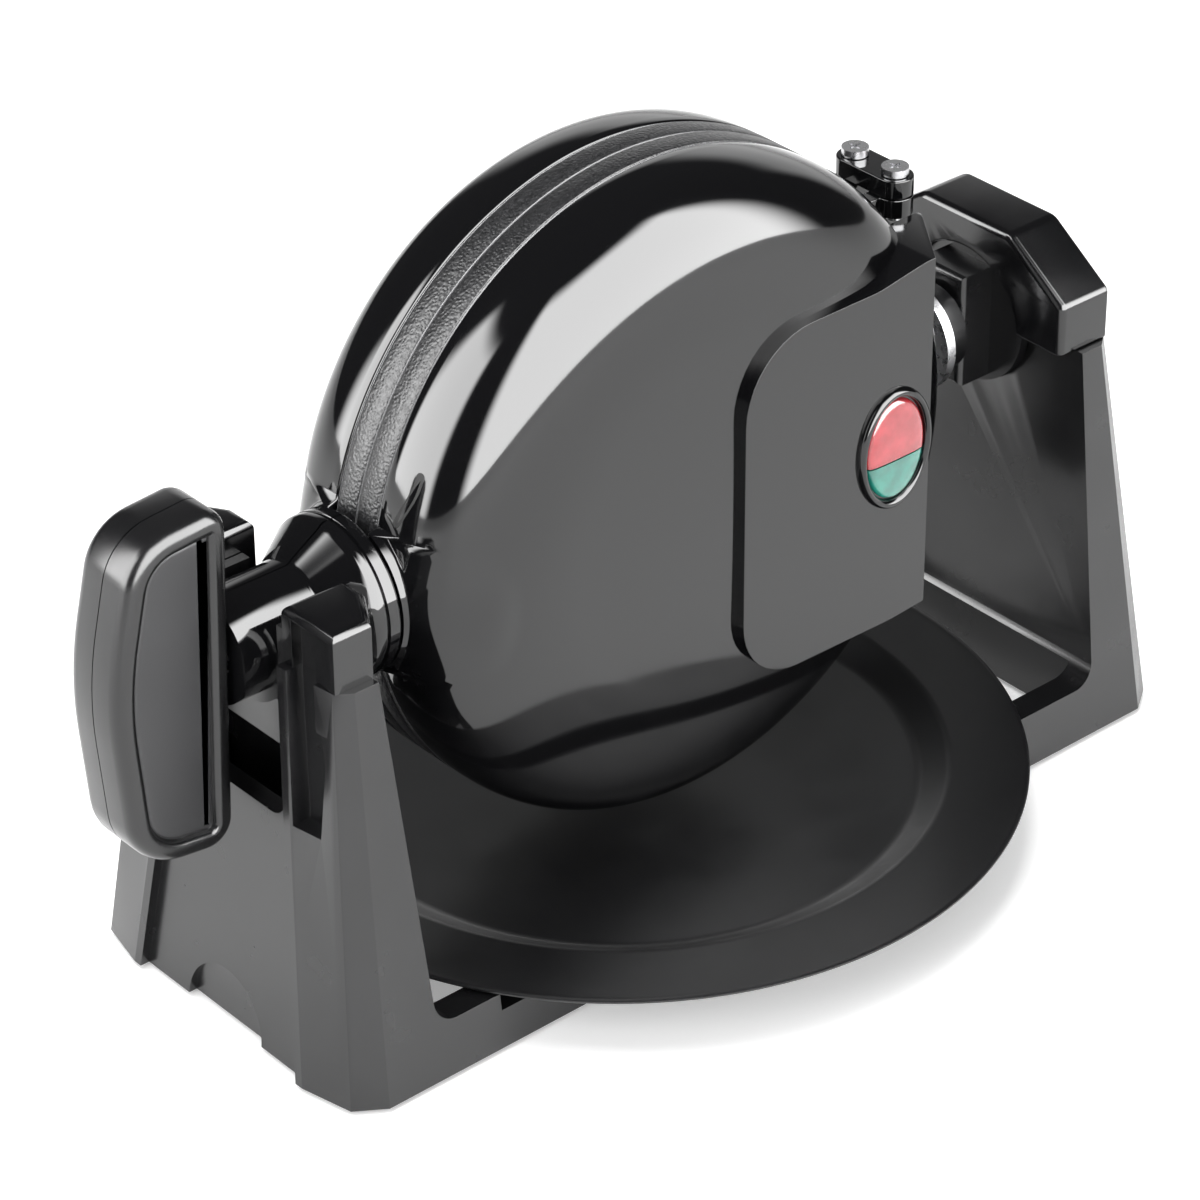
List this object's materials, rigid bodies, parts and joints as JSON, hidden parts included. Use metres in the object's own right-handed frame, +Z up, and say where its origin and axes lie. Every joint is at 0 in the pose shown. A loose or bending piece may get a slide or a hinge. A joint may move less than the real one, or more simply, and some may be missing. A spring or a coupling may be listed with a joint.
{
  "type": "rotating waffle maker",
  "caption": "Round waffle maker with a hinged lid that turns in a two-tower stand by its side handle, over a round drip tray.",
  "frame": {"origin": "middle of the stand, at the height its rubber feet rest on", "axes": "+Z up, +X along the turning axis from the handle to the bearing, -Y towards the lamp side"},
  "size_m": [0.3846, 0.264, 0.2415],
  "materials": {
    "gloss_shell": "polished",
    "stand_plastic": "satin",
    "handle_plastic": "satin",
    "grained_plastic": "leather grain",
    "tray_plastic": "satin",
    "red_lens": "polished, translucent",
    "green_lens": "polished, translucent",
    "cast_aluminium": "non-stick coating",
    "steel": "turned",
    "screw_steel": "plated",
    "pan_aluminium": "bright sheet",
    "bearing_plastic": "satin",
    "hinge_plastic": "polished",
    "inner_plastic": "satin",
    "rubber": "matt",
    "silicone_lead": "woven sleeve"
  },
  "bodies": {
    "stand": {"stand_frame": "stand_plastic", "left_saddle_cap": "gloss_shell", "right_hoop_cap": "gloss_shell", "bearing_housing": "bearing_plastic", "bearing_bush": "bearing_plastic", "saddle_liner": "bearing_plastic", "left_bottom_cover": "inner_plastic", "right_bottom_cover": "inner_plastic", "rubber_feet": "rubber", "base_screws": "screw_steel", "inlet_grommet": "rubber", "detent_spring": "steel", "detent_plug": "steel", "mains_leads": "silicone_lead", "terminal_block": "inner_plastic"},
    "tray": {"drip_tray": "tray_plastic"},
    "plunger": {"detent_plunger": "steel"},
    "back_half": {"back_cover": "gloss_shell", "back_band": "grained_plastic", "back_waffle_plate": "cast_aluminium", "back_element": "steel", "back_reflector": "pan_aluminium", "back_plate_screws": "screw_steel", "neck_back_shell": "gloss_shell", "neck_front_shell": "gloss_shell", "neck_core": "steel", "handle_back_shell": "handle_plastic", "handle_front_shell": "handle_plastic", "handle_back_inlay": "grained_plastic", "handle_front_inlay": "grained_plastic", "hollow_shaft": "steel", "shaft_collar": "bearing_plastic", "thrust_washer": "steel", "shaft_circlip": "steel", "shaft_screws": "screw_steel", "back_hinge_brackets": "hinge_plastic", "back_hinge_pins": "steel", "thermostat": "steel", "thermal_fuse": "steel", "heater_leads": "silicone_lead"},
    "link": {"hinge_links": "hinge_plastic"},
    "lid": {"front_cover": "gloss_shell", "front_band": "grained_plastic", "front_waffle_plate": "cast_aluminium", "front_element": "steel", "front_reflector": "pan_aluminium", "front_plate_screws": "screw_steel", "cover_panel": "gloss_shell", "lamp_bezel": "gloss_shell", "red_lens": "red_lens", "green_lens": "green_lens", "lamp_board": "inner_plastic", "front_hinge_brackets": "hinge_plastic", "front_hinge_pins": "steel"}
  },
  "joints": [
    {"name": "body_turn", "type": "hinge", "parent": "stand", "child": "back_half", "pos_m": [0, 0, 0.1335], "axis": [-1, 0, 0], "range_deg": [-90, 90]},
    {"name": "hinge_float", "type": "hinge", "parent": "back_half", "child": "link", "pos_m": [0.095, 0.009, 0.1335], "axis": [0, 0, 1], "range_deg": [0, 5]},
    {"name": "lid_hinge", "type": "hinge", "parent": "link", "child": "lid", "pos_m": [0.095, -0.009, 0.1335], "axis": [0, 0, 1], "range_deg": [0, 54]},
    {"name": "tray_slide", "type": "slide", "parent": "stand", "child": "tray", "axis": [0, -1, 0], "range_m": [0, 0.018]},
    {"name": "detent_press", "type": "slide", "parent": "stand", "child": "plunger", "axis": [0, 0, 1], "range_m": [0, 0.0012]}
  ]
}
